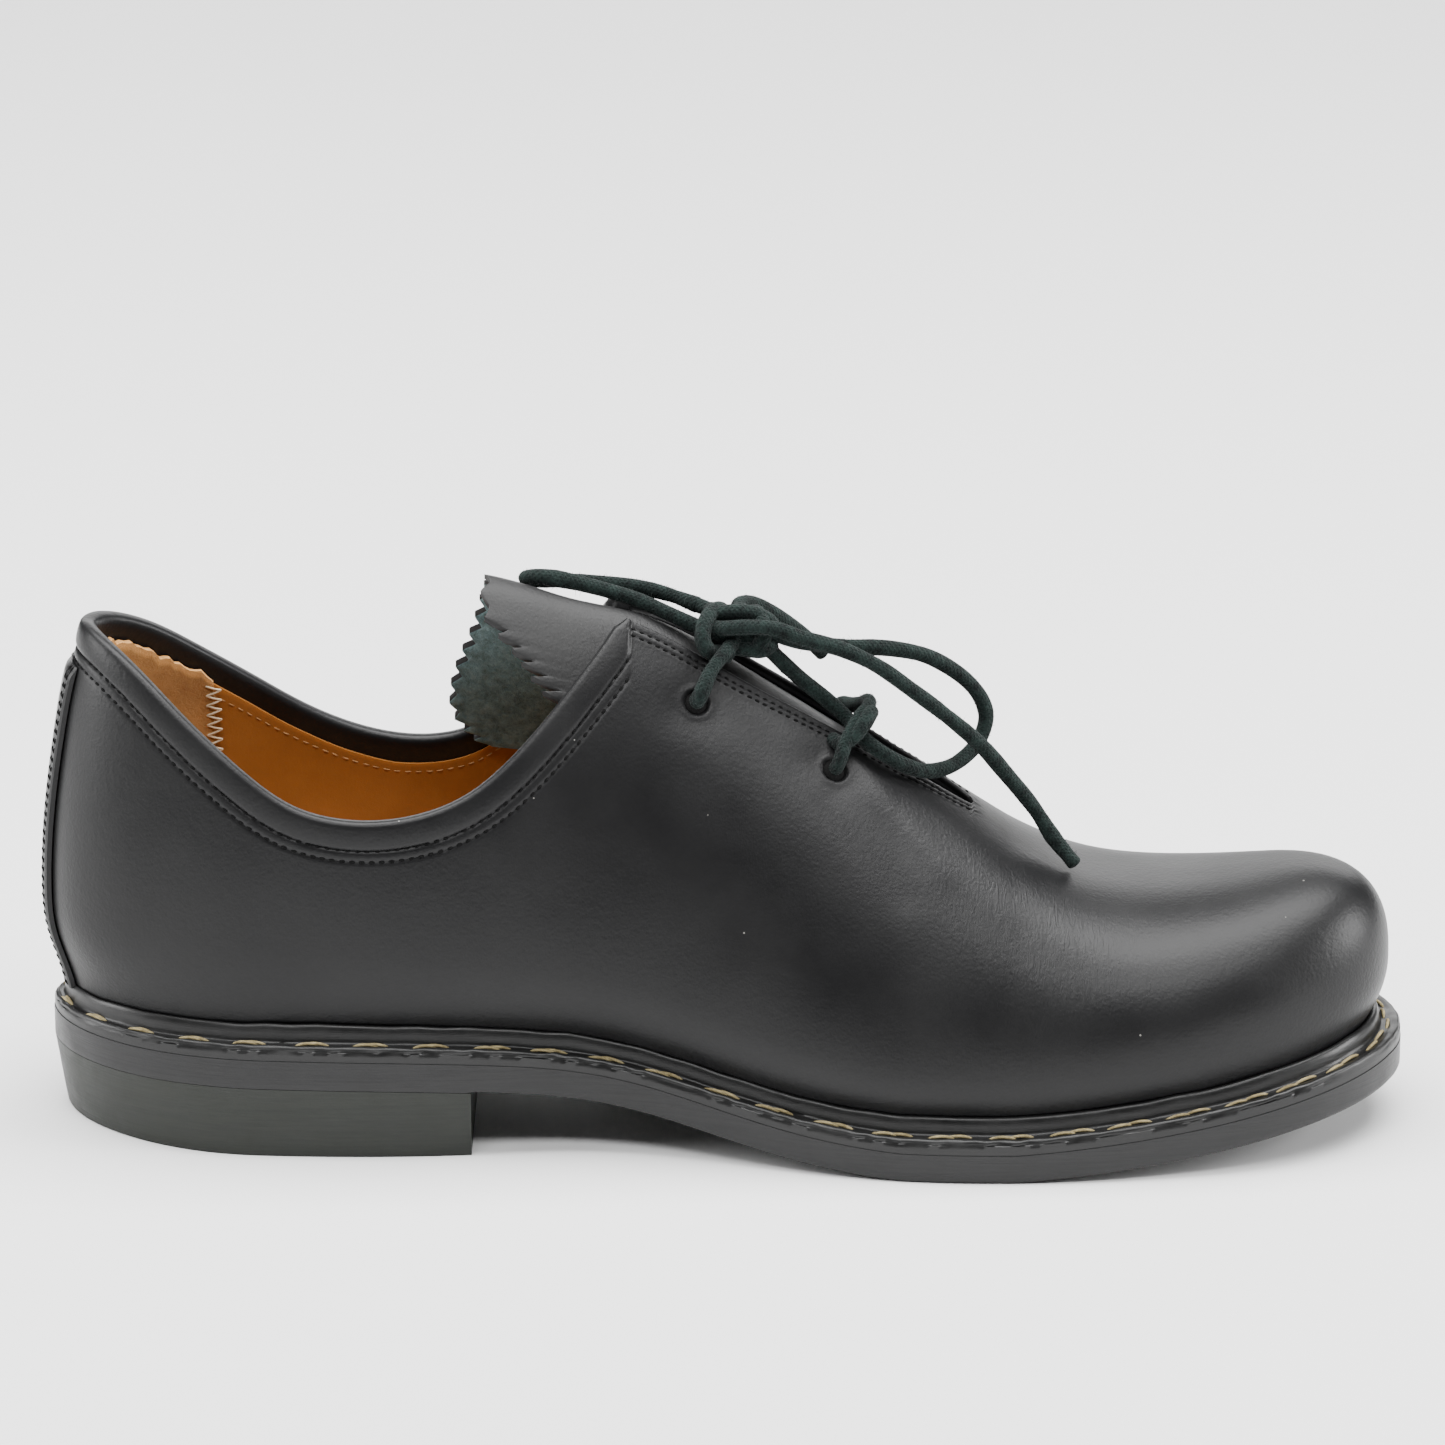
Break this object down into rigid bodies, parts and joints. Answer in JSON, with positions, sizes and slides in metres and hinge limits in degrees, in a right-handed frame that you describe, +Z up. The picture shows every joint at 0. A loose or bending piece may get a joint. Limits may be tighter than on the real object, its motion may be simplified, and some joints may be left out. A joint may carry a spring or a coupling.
{
  "type": "haferl shoe",
  "caption": "Low lace-up leather country shoe for the left foot, with a storm welt, a block heel, a tongue with a pinked edge and a round lace tied in a bow over the slit",
  "frame": {"origin": "centre of the shoe's own box on the floor, measured without the free laces", "axes": "+X from heel to toe, +Y towards the outer side of the left foot, +Z up; the inner side faces -Y"},
  "size_m": [0.3018, 0.1058, 0.1233],
  "materials": {
    "upper_leather": "smooth black leather with a satin polish",
    "tongue_leather": "black leather, finely wrinkled grain side and grey-green suede back",
    "welt_leather": "black leather welt, waxed and stitched",
    "insole_leather": "tan vegetable-tanned leather, matt",
    "sole_rubber": "black sole with a smooth dyed edge",
    "heel_rubber": "dark greenish black heel block, smooth edge",
    "lace_cord": "round woven lace, dark green-black and slightly fuzzy"
  },
  "bodies": {
    "root": {"outsole": "sole_rubber", "heel_block": "heel_rubber", "welt": "welt_leather", "insole": "insole_leather", "upper": "upper_leather", "back_strip": "upper_leather", "tongue": "tongue_leather", "lace_strand_near": "lace_cord", "lace_strand_far": "lace_cord", "lace_bar": "lace_cord", "lace_knot": "lace_cord", "lace_loop_front": "lace_cord", "lace_loop_rear": "lace_cord", "lace_end_front": "lace_cord", "lace_end_back": "lace_cord"}
  },
  "joints": []
}
